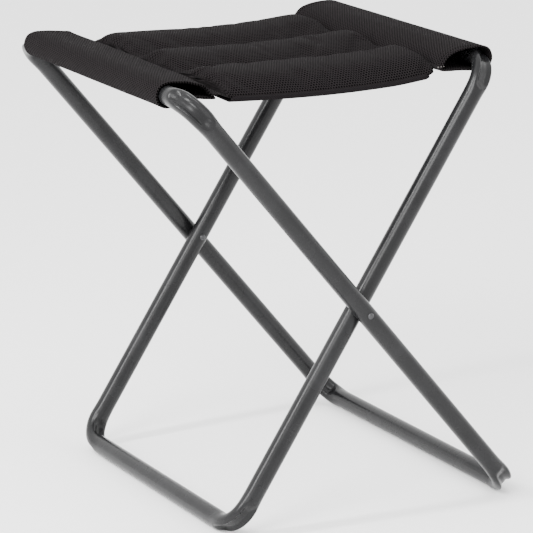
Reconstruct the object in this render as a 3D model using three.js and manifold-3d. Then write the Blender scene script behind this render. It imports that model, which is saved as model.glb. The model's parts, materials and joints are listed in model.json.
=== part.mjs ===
// Folding camp stool: two closed tube loops crossed on two rivets, and a padded mesh seat
// slung between their top rails. Millimetres, +Z up, rails along Y, front at -Y.
import * as THREE from 'three';
import { mergeVertices } from 'three/addons/utils/BufferGeometryUtils.js';
import Module from 'manifold-3d';

const wasm = await Module();
wasm.setup();

const rad = THREE.MathUtils.degToRad;

// Tube and loops
const TUBE_R = 9.5;
const WALL = 1.2;
const BEND_R = 28;
const OUTER_SIDES = 20;
const BORE_SIDES = 12;
const BEND_STEPS = 8;
const TUBE_GAP = 0.3;
const BUTT_GAP = 0.8;

const PIVOT_X = 10;
const PIVOT_Z = 214.9;
const OUTER = { lean: rad(40), top: 296, halfDepth: 186 };
const INNER = { lean: rad(-33.1), top: 277, halfDepth: 165.6 };

// Pressed bends: the outside wall is pushed in between two lobes, the inside wall is pinched
const GROOVE_DEPTH = 5;
const PINCH_DEPTH = 4.5;
const LOBE_SPREAD = 0.12;

// Pivot hardware
const RIVET_R = 2;
const RIVET_HOLE_R = 2.3;
const RIVET_HEAD_R = 3.2;
const RIVET_HEAD_H = 1.3;
const SPACER_R = 5.5;
const FIT_GAP = 0.3;

// Spigot that closes each loop inside its top rail
const SPIGOT_R = 7.5;
const SPIGOT_WALL = 1.2;
const SPIGOT_LENGTH = 60;

// Seat
const SLEEVE_R = 11.6;
const SLEEVE_WALL = 1.2;
const SLEEVE_HALF = 139;
const NOSE_R = 3;
const LEFT_SLEEVE_REACH = 52;
const RIGHT_SLEEVE_REACH = 47;
const STRIP_WIDTH = 5;
const STRIP_HEIGHT = 3;
const CHANNELS = ['front', 'middle', 'rear'];
const CHANNEL_PITCH = 94;
const PAD_BOTTOM = -7;
const VALLEY_Z = 1.5;
const CROWN_RISE = 6.5;
const COVER_THICK = 1;
const BASE_THICK = 1;
const CREASE_Z = 437.5;
const CREASE_GAP = 1.2;
const BINDING = { width: 3, height: 7 };
const TACK = { x: 4, y: 1.6, z: 2 };

const graphite = { color: 0x3d3d41, roughness: 0.42, metalness: 0.55 };
const steel = { color: 0x2c2c2f, roughness: 0.4, metalness: 0.8 };
const nylon = { color: 0x1b1b1c, roughness: 0.6, metalness: 0 };
const mesh = { color: 0x252122, roughness: 0.95, metalness: 0 };
const foam = { color: 0x39373a, roughness: 1, metalness: 0 };
const tape = { color: 0x181617, roughness: 0.9, metalness: 0 };
const thread = { color: 0x8c8886, roughness: 0.9, metalness: 0 };

const stool = new THREE.Group();

function addPiece(name, geometry, look, parent = stool) {
  const piece = new THREE.Mesh(geometry, new THREE.MeshStandardMaterial(look));
  piece.name = name;
  parent.add(piece);
  return piece;
}

function polygon(radius, sides) {
  const points = [];
  for (let i = 0; i < sides; i += 1) {
    const angle = (2 * Math.PI * (i + 0.5)) / sides;
    points.push(new THREE.Vector2(radius * Math.cos(angle), radius * Math.sin(angle)));
  }
  return points;
}

// A path given by stations (point and direction), so that bends get the rings and straights don't.
class StationPath extends THREE.Curve {
  constructor(stations) {
    super();
    this.stations = stations;
  }

  station(t) {
    return this.stations[Math.round(t * (this.stations.length - 1))];
  }

  getPoint(t, target = new THREE.Vector3()) {
    return target.copy(this.station(t).point);
  }

  getTangent(t, target = new THREE.Vector3()) {
    return target.copy(this.station(t).direction);
  }

  getUtoTmapping(u) {
    return u;
  }
}

// Height of the bottom rail's centre line below the pivot, measured along the leg.
function bottomReach(loop) {
  return (PIVOT_Z - TUBE_R) / Math.cos(loop.lean);
}

// A loop lies in its own YZ plane with the pivot at the origin. It is drawn as straight tubes
// and quarter bends that meet end to end with a hairline gap.
function straightStations(from, to) {
  const direction = to.clone().sub(from).normalize();
  const inset = direction.clone().multiplyScalar(TUBE_GAP / 2);
  return [
    { point: from.clone().add(inset), direction },
    { point: to.clone().sub(inset), direction },
  ];
}

function bendStations(loop, sideY, sideZ) {
  const centreY = sideY * (loop.halfDepth - BEND_R);
  const centreZ = sideZ > 0 ? loop.top - BEND_R : BEND_R - bottomReach(loop);
  const stations = [];
  for (let i = 0; i <= BEND_STEPS; i += 1) {
    const angle = ((Math.PI / 2) * i) / BEND_STEPS;
    const y = centreY + sideY * BEND_R * Math.sin(angle);
    const z = centreZ + sideZ * BEND_R * Math.cos(angle);
    const point = new THREE.Vector3(0, y, z);
    const direction = new THREE.Vector3(0, sideY * Math.cos(angle), -sideZ * Math.sin(angle));
    stations.push({ point, direction });
  }
  return stations;
}

// Press the groove and the pinch into a bend.
function pressBends(geometry, loop) {
  const bottom = -bottomReach(loop);
  const position = geometry.attributes.position;
  const centreY = loop.halfDepth - BEND_R;
  for (let i = 0; i < position.count; i += 1) {
    const x = position.getX(i);
    const y = position.getY(i);
    const z = position.getZ(i);
    const up = z > 0 ? 1 : -1;
    const centreZ = z > 0 ? loop.top - BEND_R : bottom + BEND_R;
    const outY = Math.abs(y) - centreY;
    const outZ = up * (z - centreZ);
    if (outY <= 0 || outZ <= 0) continue;
    const angle = Math.atan2(outZ, outY);
    const along = Math.sin(2 * angle) ** 1.3;
    const offset = Math.hypot(outY, outZ) - BEND_R;
    const across = Math.exp(-((x / (2.6 + 2.2 * along)) ** 2));
    const depth = offset > 0 ? GROOVE_DEPTH : PINCH_DEPTH;
    const radius = BEND_R + offset * (1 - (depth / TUBE_R) * along * across);
    position.setX(i, x * (1 + LOBE_SPREAD * along));
    position.setY(i, Math.sign(y) * (centreY + radius * Math.cos(angle)));
    position.setZ(i, centreZ + up * radius * Math.sin(angle));
  }
}

function toSolid(geometry) {
  const bare = geometry.clone();
  bare.deleteAttribute('normal');
  bare.deleteAttribute('uv');
  const merged = mergeVertices(bare, 1e-4);
  const vertProperties = new Float32Array(merged.attributes.position.array);
  const triVerts = new Uint32Array(merged.index.array);
  return new wasm.Manifold(new wasm.Mesh({ numProp: 3, vertProperties, triVerts }));
}

function toGeometry(solid) {
  const result = solid.getMesh();
  const geometry = new THREE.BufferGeometry();
  const position = new THREE.BufferAttribute(new Float32Array(result.vertProperties), 3);
  geometry.setAttribute('position', position);
  geometry.setIndex(new THREE.BufferAttribute(new Uint32Array(result.triVerts), 1));
  geometry.computeVertexNormals();
  return geometry;
}

function tubeAlong(stations) {
  const section = new THREE.Shape(polygon(TUBE_R, OUTER_SIDES));
  section.holes.push(new THREE.Path(polygon(TUBE_R - WALL, BORE_SIDES)));
  return new THREE.ExtrudeGeometry(section, {
    steps: stations.length - 1,
    extrudePath: new StationPath(stations),
  });
}

// A leg crosses the pivot axis, where the rivet goes through it.
function legTube(stations, halfDepth) {
  const drill = new THREE.CylinderGeometry(RIVET_HOLE_R, RIVET_HOLE_R, 3 * halfDepth, 12);
  return toGeometry(toSolid(tubeAlong(stations)).subtract(toSolid(drill)));
}

function pressedBend(loop, sideY, sideZ) {
  const bend = tubeAlong(bendStations(loop, sideY, sideZ));
  pressBends(bend, loop);
  return toGeometry(toSolid(bend));
}

function spigot() {
  const bore = SPIGOT_R - SPIGOT_WALL;
  const half = SPIGOT_LENGTH / 2;
  const profile = [
    new THREE.Vector2(bore, -half),
    new THREE.Vector2(SPIGOT_R, -half),
    new THREE.Vector2(SPIGOT_R, half),
    new THREE.Vector2(bore, half),
    new THREE.Vector2(bore, -half),
  ];
  return new THREE.LatheGeometry(profile, BORE_SIDES);
}

const at = (y, z) => new THREE.Vector3(0, y, z);

function frameLoop(name, loop) {
  const frame = new THREE.Group();
  frame.position.set(PIVOT_X, 0, PIVOT_Z);
  frame.rotation.y = -loop.lean;
  stool.add(frame);

  const straightY = loop.halfDepth - BEND_R;
  const bottom = -bottomReach(loop);
  for (const [end, side] of [['front', -1], ['rear', 1]]) {
    const rail = straightStations(at((side * BUTT_GAP) / 2, loop.top), at(side * straightY, loop.top));
    addPiece(`${name}_top_rail_${end}`, tubeAlong(rail), graphite, frame);
    addPiece(`${name}_top_bend_${end}`, pressedBend(loop, side, 1), graphite, frame);
    const legY = side * loop.halfDepth;
    const leg = straightStations(at(legY, bottom + BEND_R), at(legY, loop.top - BEND_R));
    addPiece(`${name}_leg_${end}`, legTube(leg, loop.halfDepth), graphite, frame);
    addPiece(`${name}_bottom_bend_${end}`, pressedBend(loop, side, -1), graphite, frame);
  }
  const foot = straightStations(at(-straightY, bottom), at(straightY, bottom));
  addPiece(`${name}_bottom_rail`, tubeAlong(foot), graphite, frame);
  const joiner = addPiece(`${name}_frame_spigot`, spigot(), steel, frame);
  joiner.position.z = loop.top;
}

frameLoop('outer', OUTER);
frameLoop('inner', INNER);

// Rivet through both legs of one side: a shank with a low domed head at each end.
function rivet(length) {
  const half = length / 2;
  const profile = [new THREE.Vector2(0, -half - RIVET_HEAD_H)];
  profile.push(new THREE.Vector2(RIVET_HEAD_R * 0.7, -half - RIVET_HEAD_H * 0.8));
  profile.push(new THREE.Vector2(RIVET_HEAD_R, -half));
  profile.push(new THREE.Vector2(RIVET_R, -half));
  profile.push(new THREE.Vector2(RIVET_R, half));
  profile.push(new THREE.Vector2(RIVET_HEAD_R, half));
  profile.push(new THREE.Vector2(RIVET_HEAD_R * 0.7, half + RIVET_HEAD_H * 0.8));
  profile.push(new THREE.Vector2(0, half + RIVET_HEAD_H));
  return new THREE.LatheGeometry(profile, 16);
}

function spacer(thickness) {
  const half = thickness / 2;
  const profile = [
    new THREE.Vector2(RIVET_HOLE_R, -half),
    new THREE.Vector2(SPACER_R, -half),
    new THREE.Vector2(SPACER_R, half),
    new THREE.Vector2(RIVET_HOLE_R, half),
    new THREE.Vector2(RIVET_HOLE_R, -half),
  ];
  return new THREE.LatheGeometry(profile, 20);
}

const LEG_GAP = OUTER.halfDepth - INNER.halfDepth - 2 * TUBE_R;
for (const [name, side] of [['front', -1], ['rear', 1]]) {
  const middle = (side * (OUTER.halfDepth + INNER.halfDepth)) / 2;
  const grip = OUTER.halfDepth - INNER.halfDepth + 2 * TUBE_R + 2 * FIT_GAP;
  const pin = addPiece(`pivot_rivet_${name}`, rivet(grip), steel);
  pin.position.set(PIVOT_X, middle, PIVOT_Z);
  const washer = addPiece(`pivot_spacer_${name}`, spacer(LEG_GAP - 2 * FIT_GAP), nylon);
  washer.position.set(PIVOT_X, middle, PIVOT_Z);
}

// Seat pieces are drawn in the XZ plane along one half of the seat, then extruded along Y.
function alongY(shape, length, segments = 8) {
  const geometry = new THREE.ExtrudeGeometry(shape, {
    depth: length,
    bevelEnabled: false,
    curveSegments: segments,
  });
  geometry.rotateX(Math.PI / 2);
  geometry.translate(0, length / 2, 0);
  return geometry;
}

// Teardrop round a rail at the origin, its nose at (reach, 0).
function teardrop(radius, noseRadius, reach, PathType) {
  const tangent = Math.acos((radius - noseRadius) / reach);
  const outline = new PathType();
  outline.absarc(0, 0, radius, tangent, 2 * Math.PI - tangent, false);
  outline.absarc(reach, 0, noseRadius, -tangent, tangent, false);
  return outline;
}

function sleeve(reach) {
  const boreNose = NOSE_R - SLEEVE_WALL;
  const shape = teardrop(SLEEVE_R, NOSE_R, reach, THREE.Shape);
  shape.holes.push(teardrop(SLEEVE_R - SLEEVE_WALL, boreNose, reach - 6, THREE.Path));
  return alongY(shape, 2 * SLEEVE_HALF);
}

// Upper line of the quilted channels across the seat, raised by lift.
function quiltLine(lift) {
  const steps = 10;
  const points = [];
  const total = CHANNELS.length * steps;
  for (let i = 0; i <= total; i += 1) {
    const across = (i / steps) % 1;
    const crown = 1 - Math.abs(2 * across - 1) ** 2.5;
    const y = CHANNEL_PITCH * (i / steps - CHANNELS.length / 2);
    points.push(new THREE.Vector2(y, VALLEY_Z + CROWN_RISE * crown + lift));
  }
  return points;
}

// A section in (Y, Z) extruded along +X by length.
function alongX(points, length) {
  const geometry = new THREE.ExtrudeGeometry(new THREE.Shape(points), {
    depth: length,
    bevelEnabled: false,
  });
  const axes = new THREE.Matrix4();
  axes.makeBasis(
    new THREE.Vector3(0, 1, 0),
    new THREE.Vector3(0, 0, 1),
    new THREE.Vector3(1, 0, 0),
  );
  return geometry.applyMatrix4(axes);
}

function quiltCover(length) {
  const upper = quiltLine(FIT_GAP + COVER_THICK);
  const lower = quiltLine(FIT_GAP).reverse();
  return alongX([...upper, ...lower], length);
}

function foamChannel(length) {
  const steps = 10;
  const half = CHANNEL_PITCH / 2 - FIT_GAP;
  const points = [new THREE.Vector2(-half, PAD_BOTTOM), new THREE.Vector2(half, PAD_BOTTOM)];
  for (let i = 0; i <= steps; i += 1) {
    const across = 1 - (2 * i) / steps;
    const crown = 1 - Math.abs(across) ** 2.5;
    points.push(new THREE.Vector2(half * across, VALLEY_Z + CROWN_RISE * crown - FIT_GAP));
  }
  return alongX(points, length);
}

function block(x, y, z) {
  return new THREE.BoxGeometry(x, y, z);
}

// One half of the seat, running from its rail towards the crease along local +X.
function seatHalf(name, rail, reach) {
  const toCrease = Math.hypot(rail.x, rail.z - CREASE_Z);
  const seamX = reach + NOSE_R + FIT_GAP;
  const padX = seamX + STRIP_WIDTH + FIT_GAP;
  const padLength = toCrease - padX - CREASE_GAP / 2;
  const seatDepth = CHANNELS.length * CHANNEL_PITCH;

  const turn = new THREE.Group();
  turn.position.set(rail.x, 0, rail.z);
  turn.rotation.z = rail.x < 0 ? 0 : Math.PI;
  stool.add(turn);
  const half = new THREE.Group();
  half.rotation.y = Math.asin((rail.z - CREASE_Z) / toCrease);
  turn.add(half);

  addPiece(`sleeve_${name}`, sleeve(reach), mesh, half);
  const strip = block(STRIP_WIDTH, 2 * SLEEVE_HALF, STRIP_HEIGHT);
  addPiece(`seam_strip_${name}`, strip, tape, half).position.x = seamX + STRIP_WIDTH / 2;

  addPiece(`quilt_cover_${name}`, quiltCover(padLength), mesh, half).position.x = padX;
  CHANNELS.forEach((channel, index) => {
    const core = addPiece(`foam_${channel}_${name}`, foamChannel(padLength), foam, half);
    core.position.set(padX, (index - 1) * CHANNEL_PITCH, 0);
  });
  const base = addPiece(`base_cloth_${name}`, block(padLength, seatDepth, BASE_THICK), mesh, half);
  base.position.set(padX + padLength / 2, 0, PAD_BOTTOM - FIT_GAP - BASE_THICK / 2);

  for (const [edge, side] of [['front', -1], ['rear', 1]]) {
    // The right half is turned half round, so its front is at local +Y.
    const localSide = rail.x < 0 ? side : -side;
    const binding = block(padLength, BINDING.width, BINDING.height);
    const hem = addPiece(`edge_binding_${edge}_${name}`, binding, tape, half);
    const hemY = seatDepth / 2 + FIT_GAP + BINDING.width / 2;
    hem.position.set(padX + padLength / 2, localSide * hemY, PAD_BOTTOM + BINDING.height / 2);
    const tack = addPiece(`bar_tack_${edge}_${name}`, block(TACK.x, TACK.y, TACK.z), thread, half);
    const tackY = SLEEVE_HALF + FIT_GAP + TACK.y / 2;
    tack.position.set(seamX + STRIP_WIDTH / 2, localSide * tackY, 0);
  }
}

function topRail(loop) {
  const x = PIVOT_X - loop.top * Math.sin(loop.lean);
  const z = PIVOT_Z + loop.top * Math.cos(loop.lean);
  return { x, z };
}

seatHalf('left', topRail(OUTER), LEFT_SLEEVE_REACH);
seatHalf('right', topRail(INNER), RIGHT_SLEEVE_REACH);

export default stool;
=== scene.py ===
"""Folding camp stool: the looks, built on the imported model. Metres, +Z up, front at -Y."""

import json
import math

import bmesh
import bpy
import numpy as np
from mathutils import Matrix, Vector


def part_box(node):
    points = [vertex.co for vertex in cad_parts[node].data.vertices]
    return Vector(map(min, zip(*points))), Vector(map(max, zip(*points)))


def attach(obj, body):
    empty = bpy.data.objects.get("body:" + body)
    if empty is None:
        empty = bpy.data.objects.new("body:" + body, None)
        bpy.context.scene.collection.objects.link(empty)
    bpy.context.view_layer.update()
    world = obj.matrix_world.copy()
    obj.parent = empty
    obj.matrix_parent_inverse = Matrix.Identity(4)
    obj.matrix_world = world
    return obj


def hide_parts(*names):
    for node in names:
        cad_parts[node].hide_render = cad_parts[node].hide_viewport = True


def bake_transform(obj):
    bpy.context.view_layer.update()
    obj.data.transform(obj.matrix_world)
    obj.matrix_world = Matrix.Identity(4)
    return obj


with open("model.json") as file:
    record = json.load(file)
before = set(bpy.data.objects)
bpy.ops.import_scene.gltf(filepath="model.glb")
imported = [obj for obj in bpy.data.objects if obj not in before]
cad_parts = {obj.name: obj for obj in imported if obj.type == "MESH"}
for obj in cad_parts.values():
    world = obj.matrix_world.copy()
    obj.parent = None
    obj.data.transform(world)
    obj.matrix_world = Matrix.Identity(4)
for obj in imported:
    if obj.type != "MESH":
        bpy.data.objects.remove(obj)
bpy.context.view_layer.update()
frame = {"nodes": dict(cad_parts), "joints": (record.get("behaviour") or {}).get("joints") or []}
MM = 0.001

# ---------------------------------------------------------------- places read from the frame

JOINT = {joint["name"]: Vector(joint["pos_m"]) for joint in frame["joints"]}
PIVOT = JOINT["fold"]
LEFT_RAIL = JOINT["left_sleeve_turn"]
RIGHT_RAIL = JOINT["right_sleeve_turn"]
LEFT_SEAM_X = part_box("quilt_cover_left")[0].x
RIGHT_SEAM_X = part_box("quilt_cover_right")[1].x

TUBE_R = 9.5 * MM
TUBE_SIDES = 56
BEND_R = 28 * MM
DISH_DEPTH = 5.8 * MM
PINCH_DEPTH = 5.4 * MM
LOBE_SPREAD = 0.14
HOLE_PITCH = 2.9 * MM
UP = Vector((0, 0, 1))
LOOP_PARTS = ("top_rail", "top_bend", "leg", "bottom_bend")


# ---------------------------------------------------------------- mesh helpers


def grid_mesh(name, points, closed_u=False, closed_v=False, uv=None):
    """A quad mesh over points[u][v], with a UV map in metres where uv is given."""
    points = np.asarray(points, float)
    rows, columns = points.shape[:2]
    faces = []
    for i in range(rows if closed_u else rows - 1):
        for j in range(columns if closed_v else columns - 1):
            a = i * columns + j
            b = i * columns + (j + 1) % columns
            c = ((i + 1) % rows) * columns + (j + 1) % columns
            d = ((i + 1) % rows) * columns + j
            faces.append((a, b, c, d))
    data = bpy.data.meshes.new(name)
    data.from_pydata(points.reshape(-1, 3).tolist(), [], faces)
    if uv is not None:
        flat = np.asarray(uv, float).reshape(-1, 2)
        layer = data.uv_layers.new(name="weave")
        corner = np.zeros(len(data.loops), np.int64)
        data.loops.foreach_get("vertex_index", corner)
        layer.data.foreach_set("uv", flat[corner].astype(np.float32).ravel())
    data.update()
    return link(name, data)


def link(name, data):
    """Put a mesh, light or camera into the scene as a new object."""
    piece = bpy.data.objects.new(name, data)
    bpy.context.scene.collection.objects.link(piece)
    return piece


def smooth(piece):
    piece.data.polygons.foreach_set("use_smooth", [True] * len(piece.data.polygons))
    return piece


def smoothstep(low, high, value):
    """0 at low and 1 at high, eased at both ends; low may be above high."""
    t = np.clip((np.asarray(value, float) - low) / (high - low), 0, 1)
    return t * t * (3 - 2 * t)


def fix_normals(piece):
    """Turn the faces outward."""
    work = bmesh.new()
    work.from_mesh(piece.data)
    bmesh.ops.recalc_face_normals(work, faces=work.faces)
    work.to_mesh(piece.data)
    work.free()


def close_ends(piece):
    """Fill the open ends of a swept skin and turn its faces outward."""
    work = bmesh.new()
    work.from_mesh(piece.data)
    bmesh.ops.holes_fill(work, edges=[e for e in work.edges if e.is_boundary], sides=0)
    bmesh.ops.recalc_face_normals(work, faces=work.faces)
    work.to_mesh(piece.data)
    work.free()


def subdivide(piece):
    """Bake one level of subdivision into the mesh."""
    finer = piece.modifiers.new("finer", "SUBSURF")
    finer.levels = 1
    graph = bpy.context.evaluated_depsgraph_get()
    data = bpy.data.meshes.new_from_object(piece.evaluated_get(graph), depsgraph=graph)
    piece.modifiers.remove(finer)
    piece.data = data
    piece.vertex_groups.clear()
    smooth(piece)


# ---------------------------------------------------------------- materials


def new_material(name, colour, roughness, metallic=0.0):
    """A material with its node lists and its shader."""
    material = bpy.data.materials.new(name)
    material.use_nodes = True
    shader = material.node_tree.nodes["Principled BSDF"]
    shader.inputs["Base Color"].default_value = (*colour, 1)
    shader.inputs["Roughness"].default_value = roughness
    shader.inputs["Metallic"].default_value = metallic
    return material, material.node_tree.nodes, material.node_tree.links, shader


def maths(nodes, links, operation, *values):
    """One maths node over numbers or sockets."""
    node = nodes.new("ShaderNodeMath")
    node.operation = operation
    for socket, value in zip(node.inputs, values):
        if isinstance(value, (int, float)):
            socket.default_value = value
        else:
            links.new(value, socket)
    return node.outputs[0]


def ramp(nodes, links, factor, stops):
    """Colours at places from 0 to 1, mixed by factor."""
    node = nodes.new("ShaderNodeValToRGB")
    while len(node.color_ramp.elements) < len(stops):
        node.color_ramp.elements.new(0.5)
    for element, (place, colour) in zip(node.color_ramp.elements, stops):
        element.position = place
        element.color = (*colour, 1)
    links.new(factor, node.inputs["Fac"])
    return node.outputs["Color"]


def noise(nodes, links, scale, detail=2.0, coordinates=None):
    node = nodes.new("ShaderNodeTexNoise")
    node.inputs["Scale"].default_value = scale
    node.inputs["Detail"].default_value = detail
    if coordinates is None:
        coordinates = nodes.new("ShaderNodeTexCoord").outputs["Object"]
    links.new(coordinates, node.inputs["Vector"])
    return node.outputs["Fac"]


def bump(nodes, links, height, strength, distance, under=None):
    node = nodes.new("ShaderNodeBump")
    node.inputs["Strength"].default_value = strength
    node.inputs["Distance"].default_value = distance
    links.new(height, node.inputs["Height"])
    if under is not None:
        links.new(under, node.inputs["Normal"])
    return node.outputs["Normal"]


def powder_coat():
    """Anthracite powder coat: fine orange peel, faint light specks painted into the base colour as
    painted glints, slightly uneven gloss.
    """
    material, nodes, links, shader = new_material("powder_coat", (0.014, 0.014, 0.015), 0.38)
    shader.inputs["Specular IOR Level"].default_value = 0.2
    speck = noise(nodes, links, 2600, 1)
    tone = noise(nodes, links, 38, 4)
    # Painted glint: fine light specks in the base colour stand in for the glints of the coat.
    painted_glint = maths(nodes, links, "MULTIPLY", speck, 0.7)
    mixed = maths(nodes, links, "MULTIPLY_ADD", tone, 0.3, painted_glint)
    stops = [
        (0.3, (0.0045, 0.0045, 0.0048)),
        (0.55, (0.0085, 0.0085, 0.009)),
        (0.72, (0.024, 0.024, 0.0256)),
    ]
    links.new(ramp(nodes, links, mixed, stops), shader.inputs["Base Color"])
    gloss = maths(nodes, links, "MULTIPLY_ADD", tone, 0.14, 0.2)
    links.new(gloss, shader.inputs["Roughness"])
    peel = noise(nodes, links, 900, 2)
    links.new(bump(nodes, links, peel, 0.25, 0.0002), shader.inputs["Normal"])
    return material


def rivet_steel():
    """Dark plated steel with faint turning marks."""
    material, nodes, links, shader = new_material("rivet_steel", (0.05, 0.05, 0.052), 0.35, 0.8)
    turned = noise(nodes, links, 1500, 2)
    links.new(maths(nodes, links, "MULTIPLY_ADD", turned, 0.3, 0.22), shader.inputs["Roughness"])
    links.new(bump(nodes, links, turned, 0.2, 0.0001), shader.inputs["Normal"])
    return material


def air_mesh():
    """Spacer mesh: staggered honeycomb holes 3 mm apart in a matt knitted face; the holes are
    painted near black, painted shade in the open cells.
    """
    material, nodes, links, shader = new_material("air_mesh", (0.012, 0.0105, 0.011), 0.8)
    shader.inputs["Sheen Weight"].default_value = 0.012
    shader.inputs["Sheen Roughness"].default_value = 0.45
    shader.inputs["Specular IOR Level"].default_value = 0.1
    shader.inputs["IOR"].default_value = 1.09
    uv = nodes.new("ShaderNodeUVMap")
    uv.uv_map = "weave"
    split = nodes.new("ShaderNodeSeparateXYZ")
    links.new(uv.outputs["UV"], split.inputs[0])
    across = split.outputs["X"]
    along = split.outputs["Y"]
    wave = 2 * math.pi / (HOLE_PITCH * math.sin(math.pi / 3))
    total = None
    for angle in (math.radians(30), math.radians(90), math.radians(150)):
        part_x = maths(nodes, links, "MULTIPLY", across, wave * math.cos(angle))
        phase = maths(nodes, links, "MULTIPLY_ADD", along, wave * math.sin(angle), part_x)
        cosine = maths(nodes, links, "COSINE", phase)
        total = cosine if total is None else maths(nodes, links, "ADD", total, cosine)
    hole = maths(nodes, links, "MULTIPLY_ADD", total, 1 / 4.5, 1 / 3)
    tone = noise(nodes, links, 55, 3)
    fuzz = noise(nodes, links, 2200, 2)
    lint = maths(nodes, links, "MULTIPLY", fuzz, 0.08)
    shade = maths(nodes, links, "MULTIPLY_ADD", tone, 0.1, lint)
    # Painted shade: subtracting the hole mask darkens the holes in the base colour, standing in for
    # the shade inside the open cells; tone and lint vary at random.
    level = maths(nodes, links, "SUBTRACT", maths(nodes, links, "ADD", shade, 0.9), hole)
    stops = [
        (0.12, (0.0001, 0.0001, 0.0001)),
        (0.5, (0.0012, 0.001, 0.0011)),
        (0.9, (0.0135, 0.0116, 0.0122)),
    ]
    links.new(ramp(nodes, links, level, stops), shader.inputs["Base Color"])
    knit = bump(nodes, links, maths(nodes, links, "SUBTRACT", 1.0, hole), 0.9, 0.0009)
    links.new(bump(nodes, links, fuzz, 0.3, 0.0003, knit), shader.inputs["Normal"])
    return material


def woven_tape(name, colour, pitch):
    """Ribbed binding tape: ribs at the given pitch, painted darker in the grooves and lighter on the
    ridges (painted shade and painted highlight), and a slight fuzz.
    """
    material, nodes, links, shader = new_material(name, colour, 0.85)
    shader.inputs["Sheen Weight"].default_value = 0.012
    shader.inputs["Specular IOR Level"].default_value = 0.1
    shader.inputs["IOR"].default_value = 1.09
    coordinates = nodes.new("ShaderNodeTexCoord").outputs["Object"]
    rib = nodes.new("ShaderNodeTexWave")
    rib.bands_direction = "DIAGONAL"
    rib.inputs["Scale"].default_value = 0.31 / pitch
    links.new(coordinates, rib.inputs["Vector"])
    fuzz = noise(nodes, links, 1800, 2)
    ribbing = maths(nodes, links, "MULTIPLY", rib.outputs["Fac"], 0.6)
    level = maths(nodes, links, "MULTIPLY_ADD", fuzz, 0.4, ribbing)
    # Painted shade and painted highlight: the rib bands darken the grooves and lighten the ridges of
    # one yarn colour; the fuzz varies at random.
    dark = tuple(0.55 * value for value in colour)
    light = tuple(1.5 * value for value in colour)
    links.new(ramp(nodes, links, level, [(0.2, dark), (0.8, light)]), shader.inputs["Base Color"])
    links.new(bump(nodes, links, level, 0.6, 0.0004), shader.inputs["Normal"])
    return material


def plain_floor():
    return new_material("pale_floor", (0.99, 0.99, 0.99), 1.0)[0]


COAT = powder_coat()
STEEL = rivet_steel()
AIR_MESH = air_mesh()
BINDING = woven_tape("binding_tape", (0.008, 0.007, 0.0075), 1.2 * MM)
BASE_CLOTH = woven_tape("base_cloth", (0.008, 0.0072, 0.0075), 0.8 * MM)
THREAD = woven_tape("tack_thread", (0.3, 0.28, 0.27), 0.6 * MM)
DARK_THREAD = woven_tape("seam_thread", (0.018, 0.016, 0.017), 0.6 * MM)
NYLON = woven_tape("spacer_nylon", (0.01, 0.01, 0.0105), 0.9 * MM)


def dress(piece, material):
    piece.data.materials.clear()
    piece.data.materials.append(material)
    return piece


# ---------------------------------------------------------------- frame tubes


def loop_rings(top, bottom, half_depth):
    """Stations round a loop: centre (y, z), outward direction, and distance from a bend's middle."""
    arc = BEND_R * math.pi / 2
    reach = arc / 2 + 16 * MM
    step = 1.6 * MM
    corners = [(1, 1, 90), (1, -1, 0), (-1, -1, -90), (-1, 1, -180)]
    rings = []
    for side, up, start in corners:
        height = top - BEND_R if up > 0 else bottom + BEND_R
        centre = np.array([side * (half_depth - BEND_R), height])
        for s in np.arange(-reach, reach + step / 2, step):
            clamped = np.clip(s, -arc / 2, arc / 2)
            angle = math.radians(start) - (clamped + arc / 2) / BEND_R
            out = np.array([math.cos(angle), math.sin(angle)])
            along = np.array([out[1], -out[0]])
            rings.append((centre + BEND_R * out + along * (s - clamped), out, s))
    return rings


def pressed_section(s, sides):
    """Tube section at distance s from a bend's middle: (normal to loop, outward) offsets."""
    psi = np.linspace(0, 2 * math.pi, sides, endpoint=False)
    normal = TUBE_R * np.sin(psi)
    out = TUBE_R * np.cos(psi)
    dish = smoothstep(25 * MM, 15 * MM, abs(s))
    lobes = smoothstep(34 * MM, 10 * MM, abs(s))
    pinch = smoothstep(17 * MM, 5 * MM, abs(s))
    valley = np.exp(-np.abs(normal / (5.5 * MM)) ** 4.4)
    outer = np.where(out > 0, dish * DISH_DEPTH * valley, 0)
    crimp = np.exp(-np.abs(normal / (4.6 * MM)) ** 2.4)
    inner = np.where(out < 0, pinch * PINCH_DEPTH * crimp, 0)
    flat = 1 - 0.05 * lobes
    return normal * (1 + LOBE_SPREAD * lobes), out * flat - outer + inner


def frame_tube(name, loop, rail):
    """The visible painted loop, in its own tilted plane through the pivot."""
    up = (rail - PIVOT).normalized()
    sideways = Vector((0, 1, 0))
    normal = sideways.cross(up)
    top = (rail - PIVOT).length
    bottom = -(PIVOT.z - TUBE_R) / up.z
    half_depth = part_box(f"{loop}_leg_rear")[1].y - TUBE_R
    points = []
    for centre, out, s in loop_rings(top, bottom, half_depth):
        offset_n, offset_out = pressed_section(s, TUBE_SIDES)
        ring = []
        for n, q in zip(offset_n, offset_out):
            y, z = centre + out * q
            ring.append(PIVOT + sideways * y + up * z + normal * n)
        points.append(ring)
    tube = smooth(grid_mesh(name, points, closed_u=True, closed_v=True))
    fix_normals(tube)
    dress(tube, COAT)
    parts = [f"{loop}_{part}_{end}" for part in LOOP_PARTS for end in ("front", "rear")]
    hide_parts(f"{loop}_bottom_rail", *parts)
    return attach(tube, f"{loop}_frame")


frame_tube("outer_tube", "outer", LEFT_RAIL)
frame_tube("inner_tube", "inner", RIGHT_RAIL)

# ---------------------------------------------------------------- seat

SEWN_MID_Z = 436.2 * MM
SEWN_END_RISE = 3.8 * MM
CROWN = 12.5 * MM
UNDER = 6.5 * MM
CHANNEL = 94 * MM
PAD_EDGE_Y = 147 * MM
END_ROUND = 15 * MM
WRINKLE_CAP = 3.5 * MM

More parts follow.
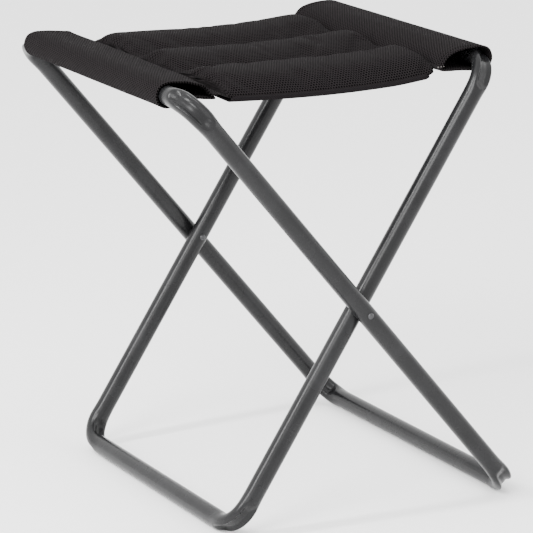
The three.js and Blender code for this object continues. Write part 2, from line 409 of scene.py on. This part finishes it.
LEFT_OUTLINE = [
    (50, -2.8), (46, 0.5), (42.5, 5.4), (38, 9.0), (30, 10.2), (20, 11.6), (10, 12.6), (0, 12.8),
    (-8.8, 9.3), (-12.6, 0), (-8.9, -9), (0, -12.4), (12, -9.6), (26, -5.4), (40, -4.4), (49, -4.8),
]
RIGHT_OUTLINE = [
    (47, -4.6), (43, 2.6), (36, 8.5), (24, 11.8), (10, 13), (0, 12.8), (-8.9, 9.5), (-12.8, 0),
    (-8.9, -9.2), (0, -12.3), (12, -11.2), (26, -9.6), (40, -8.2), (46.5, -7),
]
SKIN = 1.5 * MM
LEFT_SLEEVE_Y = (-141 * MM, 158 * MM)
RIGHT_SLEEVE_Y = (-150 * MM, 148 * MM)
SLEEVE_STEP = 2.5 * MM
SLEEVE_SIDES = 96
PUCKER = 0.45 * MM
CUFF_REACH = 11 * MM
CUFF_FOLD = 0.9 * MM
CUFF_FOLD_PITCH = 1.15 * MM
CUFF_NIP = 0.3 * MM
QUILT_POWER = 2.4
EDGE_ROLL_POWER = 2.3
PAD_PAST_LEFT_SEAM = 4 * MM
PAD_PAST_RIGHT_SEAM = 6 * MM
UNDER_BULGE = 1.5 * MM
SEWN_ROW = 3 * MM
CLOTH_FRAMES = 20
RANDOM = np.random.default_rng(7)


def smooth_closed(outline, count):
    """A closed Catmull-Rom line through the outline's points, evenly spaced."""
    points = np.asarray(outline, float) * MM
    before = np.roll(points, 1, 0)
    after = np.roll(points, -1, 0)
    later = np.roll(points, -2, 0)
    dense = []
    for t in np.linspace(0, 1, 16, endpoint=False):
        low = 2 * points + (after - before) * t
        mid = (2 * before - 5 * points + 4 * after - later) * t**2
        high = (3 * points - before - 3 * after + later) * t**3
        dense.append((low + mid + high) / 2)
    line = np.stack(dense, 1).reshape(-1, 2)
    closed = np.vstack([line, line[:1]])
    run = np.concatenate([[0], np.cumsum(np.linalg.norm(np.diff(closed, axis=0), axis=1))])
    places = np.linspace(0, run[-1], count, endpoint=False)
    across = np.interp(places, run, closed[:, 0])
    up = np.interp(places, run, closed[:, 1])
    return np.stack([across, up], 1), places


def ripples(places, along, waves):
    """Sum of a few slanted sine folds, used where cloth puckers."""
    total = np.zeros_like(places)
    for pitch_u, pitch_v, phase in waves:
        total += np.sin(places / pitch_u + along / pitch_v + phase)
    return total / len(waves)


def sleeve(name, rail, toward, outline, reach_y, seam_z):
    """Cloth sleeve round a top rail: an outer and an inner skin joined at both open ends."""
    line, places = smooth_closed(outline, SLEEVE_SIDES)
    ahead = np.roll(line, -1, 0) - np.roll(line, 1, 0)
    outward = np.stack([ahead[:, 1], -ahead[:, 0]], 1)
    outward /= np.linalg.norm(outward, axis=1)[:, None]
    if np.sum(outward * line) < 0:
        outward = -outward
    waves = [(*RANDOM.uniform(9, 26, 2) * MM, RANDOM.uniform(0, 6.3)) for _ in range(5)]
    low, high = reach_y
    steps = int((high - low) / SLEEVE_STEP)
    rows = []
    row_uv = []
    for layer in (0, 1):
        for k in range(steps + 1):
            share = k / steps if layer == 0 else 1 - k / steps
            y = low + (high - low) * share
            end = min(y - low, high - y)
            cuff = math.exp(-((end / CUFF_REACH) ** 2))
            folds = ripples(places, y, waves)
            rings = CUFF_FOLD * np.sin(end / CUFF_FOLD_PITCH) - CUFF_NIP
            swell = PUCKER * folds + cuff * rings
            free = smoothstep(-2 * MM, 14 * MM, line[:, 0])
            free *= smoothstep(50 * MM, 40 * MM, line[:, 0])
            swell = swell * (0.35 + 0.65 * free)
            lift = swell - (SKIN if layer else 0)
            ring = line + outward * lift[:, None]
            drop = seam_z(y) * smoothstep(18 * MM, 46 * MM, ring[:, 0])
            x = rail.x + toward * ring[:, 0]
            z = rail.z + ring[:, 1] + drop
            rows.append(np.stack([x, np.full_like(x, y), z], 1))
            row_uv.append(np.stack([places, np.full_like(places, y)], 1))
    piece = smooth(grid_mesh(name, rows, closed_u=True, closed_v=True, uv=row_uv))
    fix_normals(piece)
    return dress(piece, AIR_MESH)


def sewn_z(x):
    """Height of the sewn plane across the seat, which hangs a little between the rails."""
    hang = SEWN_END_RISE * (1 - np.cos(np.pi * np.asarray(x) / (230 * MM)))
    return SEWN_MID_Z + hang + 2 * MM * smoothstep(60 * MM, 112 * MM, x)


def channel_share(y):
    """0 on the quilting lines, 1 on the crowns, and a full roll over the front and rear edges."""
    y = np.abs(y)
    half = CHANNEL / 2
    middle = 1 - np.clip(y / half, 0, 1) ** QUILT_POWER
    inner = 1 - np.clip((CHANNEL - y) / half, 0, 1) ** QUILT_POWER
    past = np.clip((y - CHANNEL) / (PAD_EDGE_Y - CHANNEL), 0, 1)
    roll = np.sqrt(1 - past**EDGE_ROLL_POWER)
    return np.where(y < half, middle, np.where(y < CHANNEL, inner, roll))


def pad_section_y():
    """Y stations from the rear edge to the front edge, closer together on the two edge rolls."""
    turn = np.linspace(math.pi / 2, 0, 13, endpoint=False)
    edge = CHANNEL + (PAD_EDGE_Y - CHANNEL) * np.sin(turn)
    flat = np.linspace(CHANNEL, -CHANNEL, 46)
    return np.concatenate([edge, flat, -edge[::-1]])


def quilted_pad():
    """The three-channel pad, top and underside in one skin, blown up between its seams."""
    left = LEFT_SEAM_X - PAD_PAST_LEFT_SEAM
    right = RIGHT_SEAM_X + PAD_PAST_RIGHT_SEAM
    across = np.linspace(left, right, 62)
    y = pad_section_y()
    edge_drop = UNDER * smoothstep(CHANNEL, PAD_EDGE_Y, np.abs(y)) ** 2
    height = (CROWN + edge_drop) * channel_share(y) - edge_drop
    run = np.concatenate([[0], np.cumsum(np.hypot(np.diff(y), np.diff(height)))])
    rows = []
    row_uv = []
    held = []
    for x in across:
        nearest = min(x - left, right - x)
        full = math.sqrt(1 - (1 - min(nearest / END_ROUND, 1)) ** 2)
        base = sewn_z(x)
        share = channel_share(y)
        top = base - edge_drop * full + (CROWN + edge_drop) * share * (0.04 + 0.96 * full)
        under = np.full_like(y, base - UNDER * full - 0.8 * MM)
        bulge = UNDER_BULGE * full * np.clip(share, 0, 1)
        lower = (under - bulge)[::-1]
        ring_y = np.concatenate([y, y[::-1] * 0.996])
        ring_z = np.concatenate([top, lower])
        rows.append(np.stack([np.full_like(ring_y, x), ring_y, ring_z], 1))
        row_uv.append(np.stack([np.full_like(ring_y, x), np.concatenate([run, run[::-1]])], 1))
        from_row = np.minimum(np.abs(np.abs(y) - CHANNEL / 2) / SEWN_ROW, 1)
        grip = 1 - smoothstep(0.2, 1, from_row) * (1 if nearest > SEWN_ROW else 0)
        grip = np.where(np.abs(y) > PAD_EDGE_Y - 1 * MM, 1, grip)
        held.append(np.concatenate([grip, np.ones_like(y)]))
    pad = smooth(grid_mesh("seat_pad", rows, closed_v=True, uv=row_uv))
    close_ends(pad)
    inflate(pad, np.concatenate(held))
    return dress(pad, AIR_MESH)


def inflate(piece, held):
    """Blow the skin up with cloth, so that it puckers at its seams, and cap how far it moves."""
    rest = np.array([v.co for v in piece.data.vertices])
    group = piece.vertex_groups.new(name="sewn")
    for index, weight in enumerate(held):
        group.add([index], float(weight), "REPLACE")
    cloth = piece.modifiers.new("fill", "CLOTH")
    cloth.settings.quality = 4
    cloth.settings.mass = 0.25
    cloth.settings.tension_stiffness = 12
    cloth.settings.compression_stiffness = 12
    cloth.settings.shear_stiffness = 5
    cloth.settings.bending_stiffness = 0.15
    cloth.settings.use_pressure = True
    cloth.settings.uniform_pressure_force = 4
    cloth.settings.shrink_min = -0.035
    cloth.settings.effector_weights.gravity = 0
    cloth.settings.vertex_group_mass = "sewn"
    for number in range(1, CLOTH_FRAMES + 1):
        bpy.context.scene.frame_set(number)
    graph = bpy.context.evaluated_depsgraph_get()
    blown = np.array([v.co for v in piece.evaluated_get(graph).data.vertices])
    piece.modifiers.remove(cloth)
    bpy.context.scene.frame_set(1)
    move = blown - rest
    length = np.linalg.norm(move, axis=1)[:, None]
    move *= WRINKLE_CAP * np.tanh(length / WRINKLE_CAP) / np.maximum(length, 1e-9)
    piece.data.vertices.foreach_set("co", (rest + move).astype(np.float32).ravel())
    piece.data.update()
    subdivide(piece)


def ribbon(name, path, half_width, half_height, flatten):
    """A closed, rounded tape swept along path; flatten is the direction of its half height."""
    path = [Vector(p) for p in path]
    rows = []
    for k, place in enumerate(path):
        along = (path[min(k + 1, len(path) - 1)] - path[max(k - 1, 0)]).normalized()
        side = along.cross(flatten).normalized()
        lift = side.cross(along).normalized()
        scale = 0.5 if k in (0, len(path) - 1) else 1
        ring = []
        for turn in np.linspace(0, 2 * math.pi, 14, endpoint=False):
            wide = math.copysign(abs(math.cos(turn)) ** 0.6, math.cos(turn))
            tall = math.copysign(abs(math.sin(turn)) ** 0.6, math.sin(turn))
            offset = side * (wide * half_width) + lift * (tall * half_height)
            ring.append(place + offset * scale)
        rows.append(ring)
    piece = smooth(grid_mesh(name, rows, closed_v=True))
    close_ends(piece)
    return piece


def seam_line(rail, toward, reach, height, reach_y):
    """The seam beside a sleeve, swaying slightly as hand-fed sewing does."""
    low, high = reach_y
    points = []
    for y in np.arange(low, high + 1 * MM, 3 * MM):
        sway = 0.6 * MM * math.sin(y / (17 * MM)) + 0.3 * MM * math.sin(y / (5.3 * MM))
        z = rail.z + height + 0.35 * MM * math.sin(y / (7 * MM))
        points.append((rail.x + toward * (reach + sway), y, z))
    return points


def stitches(name, path, spacing, length, radius):
    """A row of short thread stitches along path, as one mesh."""
    path = np.asarray(path, float)
    run = np.concatenate([[0], np.cumsum(np.linalg.norm(np.diff(path, axis=0), axis=1))])
    work = bmesh.new()
    for place in np.arange(spacing / 2, run[-1], spacing):
        centre = Vector([np.interp(place, run, path[:, axis]) for axis in range(3)])
        nearby = Vector([np.interp(place + 1 * MM, run, path[:, axis]) for axis in range(3)])
        turn = (nearby - centre).to_track_quat("Z", "Y").to_matrix().to_4x4()
        shape = Matrix.Diagonal((radius, radius, length / 2, 1))
        matrix = Matrix.Translation(centre) @ turn @ shape
        bmesh.ops.create_icosphere(work, subdivisions=1, radius=1, matrix=matrix)
    data = bpy.data.meshes.new(name)
    work.to_mesh(data)
    work.free()
    return smooth(link(name, data))


def pad_edge_path(side, drop):
    """Along the pad's lower front or rear edge."""
    points = []
    for x in np.linspace(LEFT_SEAM_X + 3 * MM, RIGHT_SEAM_X - 3 * MM, 60):
        points.append((x, side * PAD_EDGE_Y, sewn_z(x) - drop))
    return points


def base_sheet():
    """Woven cloth under the pad, a thin closed sheet from seam to seam."""
    y = np.linspace(-PAD_EDGE_Y + 3 * MM, PAD_EDGE_Y - 3 * MM, 60)
    rows = []
    for x in np.linspace(LEFT_SEAM_X + 2 * MM, RIGHT_SEAM_X - 2 * MM, 60):
        sag = 0.5 * MM * np.sin(y / (19 * MM)) * math.sin(x / (23 * MM))
        top = sewn_z(x) - UNDER - 2.8 * MM + sag
        ring_y = np.concatenate([y, y[::-1]])
        ring_z = np.concatenate([top, (top - 0.6 * MM)[::-1]])
        rows.append(np.stack([np.full_like(ring_y, x), ring_y, ring_z], 1))
    piece = smooth(grid_mesh("base_cloth", rows, closed_v=True))
    close_ends(piece)
    return dress(piece, BASE_CLOTH)


def across_crease(piece):
    """Bake a piece's transform into its mesh."""
    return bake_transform(piece)


def both(pattern):
    """The left and right node of a pair."""
    return [pattern.format("left"), pattern.format("right")]


def left_seam_z(y):
    """How far the left sleeve's inner side lies off its outline; it drops at the front end."""
    return 0.8 * MM * math.sin(y / (60 * MM)) - 3 * MM * smoothstep(-95 * MM, -141 * MM, y)


def right_seam_z(y):
    """The right sleeve's inner side sags most in the middle, and a little at the front end."""
    sag = 4.2 * MM * (1 - (y / (150 * MM)) ** 2)
    front = 1.2 * MM * min(1, max(0, -y) / (150 * MM))
    return -sag - front


def seat():
    """Build every visible seat piece and hide the nodes it stands for."""
    pad = quilted_pad()
    foams = [name for place in ("front", "middle", "rear") for name in both(f"foam_{place}_{{}}")]
    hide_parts(*both("quilt_cover_{}"), *foams)
    across_crease(pad)

    base = base_sheet()
    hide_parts(*both("base_cloth_{}"))
    across_crease(base)

    left = sleeve("sleeve_cloth_left", LEFT_RAIL, 1, LEFT_OUTLINE, LEFT_SLEEVE_Y, left_seam_z)
    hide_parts("sleeve_left")
    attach(left, "seat_left")
    reach_y = RIGHT_SLEEVE_Y
    right = sleeve("sleeve_cloth_right", RIGHT_RAIL, -1, RIGHT_OUTLINE, reach_y, right_seam_z)
    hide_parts("sleeve_right")
    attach(right, "sleeve_right")

    seams = [
        ("left", LEFT_RAIL, 1, 51.5 * MM, -4.2 * MM, LEFT_SLEEVE_Y, "seat_left"),
        ("right", RIGHT_RAIL, -1, 47.5 * MM, -5.6 * MM, RIGHT_SLEEVE_Y, "sleeve_right"),
    ]
    for name, rail, toward, reach, height, reach_y, body in seams:
        line = seam_line(rail, toward, reach, height, reach_y)
        strip = ribbon(f"seam_tape_{name}", line, 3.6 * MM, 1.3 * MM, UP)
        dress(strip, BINDING)
        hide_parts(f"seam_strip_{name}")
        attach(strip, body)
        raised = [(x, y, z + 1.3 * MM) for x, y, z in line]
        row = stitches(f"seam_stitches_{name}", raised, 3.4 * MM, 2.3 * MM, 0.32 * MM)
        dress(row, DARK_THREAD)
        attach(row, body)
        for edge, end in (("front", 0), ("rear", -1)):
            spot = Vector(line[end])
            inward = Vector((-toward * 5 * MM, 0, 0))
            above = UP * (1.5 * MM)
            tack_path = [spot + above + inward, spot + above - inward]
            tack = stitches(f"tack_thread_{edge}_{name}", tack_path, 3.2 * MM, 1.1 * MM, 0.4 * MM)
            dress(tack, THREAD if name == "right" and edge == "front" else DARK_THREAD)
            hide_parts(f"bar_tack_{edge}_{name}")
            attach(tack, body)

    for edge, side in (("front", -1), ("rear", 1)):
        path = pad_edge_path(side, UNDER + 0.8 * MM)
        tape = ribbon(f"edge_tape_{edge}", path, 1.7 * MM, 2.4 * MM, UP)
        dress(tape, BINDING)
        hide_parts(*both(f"edge_binding_{edge}_{{}}"))
        across_crease(tape)


seat()

# ---------------------------------------------------------------- small CAD pieces that stay

for end in ("front", "rear"):
    dress(frame["nodes"][f"pivot_rivet_{end}"], STEEL)
    dress(frame["nodes"][f"pivot_spacer_{end}"], NYLON)
for loop in ("outer", "inner"):
    dress(frame["nodes"][f"{loop}_frame_spigot"], STEEL)


# ---------------------------------------------------------------- camera and light

FLOOR_HALF = 30.0
FLOOR_Z = -0.5 * MM
SKY_STRENGTH = 2.5
CAMERA_AZIMUTH = math.radians(-28.77)
CAMERA_ELEVATION = math.radians(14.92)
CAMERA_DISTANCE = 3.096
CAMERA_LENS = 204.4
CAMERA_LEFT = 7 * MM
CAMERA_UP = 4 * MM


def softbox(name, place, size_x, size_y, power):
    """A rectangular lamp that faces the middle of the stool."""
    light = bpy.data.lights.new(name, "AREA")
    light.shape = "RECTANGLE"
    light.size = size_x
    light.size_y = size_y
    light.energy = power
    lamp = link(name, light)
    lamp.location = place
    aim = Vector((0, 0, 0.25)) - Vector(place)
    lamp.rotation_euler = aim.to_track_quat("-Z", "Y").to_euler()


def studio():
    """A pale floor, a white sky and three soft lamps."""
    floor_data = bpy.data.meshes.new("studio_floor")
    corners = [(x * FLOOR_HALF, y * FLOOR_HALF, 0) for x, y in ((-1, -1), (1, -1), (1, 1), (-1, 1))]
    floor_data.from_pydata(corners, [], [(0, 1, 2, 3)])
    floor = link("studio_floor", floor_data)
    floor.data.materials.append(plain_floor())
    floor.location.z = FLOOR_Z

    world = bpy.data.worlds.new("studio")
    bpy.context.scene.world = world
    world.use_nodes = True
    sky = world.node_tree.nodes["Background"]
    sky.inputs["Color"].default_value = (1, 1, 1, 1)
    sky.inputs["Strength"].default_value = SKY_STRENGTH

    softbox("key", (-1.6, -1.2, 2.0), 1.0, 1.0, 60)
    softbox("strip_left", (-1.64, 0.0, 1.36), 0.16, 1.2, 45)
    softbox("fill", (1.8, -1.6, 1.4), 1.2, 1.2, 12)


def camera():
    """A long lens from the front left, aimed close to the pivot axis."""
    right = Vector((math.cos(CAMERA_AZIMUTH), math.sin(CAMERA_AZIMUTH), 0))
    level = math.cos(CAMERA_ELEVATION)
    back_x = math.sin(CAMERA_AZIMUTH) * level
    back_y = -math.cos(CAMERA_AZIMUTH) * level
    back = Vector((back_x, back_y, math.sin(CAMERA_ELEVATION)))
    up = back.cross(right)
    data = bpy.data.cameras.new("camera")
    data.lens = CAMERA_LENS
    data.sensor_width = 36
    eye = link("camera", data)
    eye.location = PIVOT + back * CAMERA_DISTANCE - right * CAMERA_LEFT + up * CAMERA_UP
    eye.rotation_euler = back.to_track_quat("Z", "Y").to_euler()
    bpy.context.scene.camera = eye


camera()
studio()
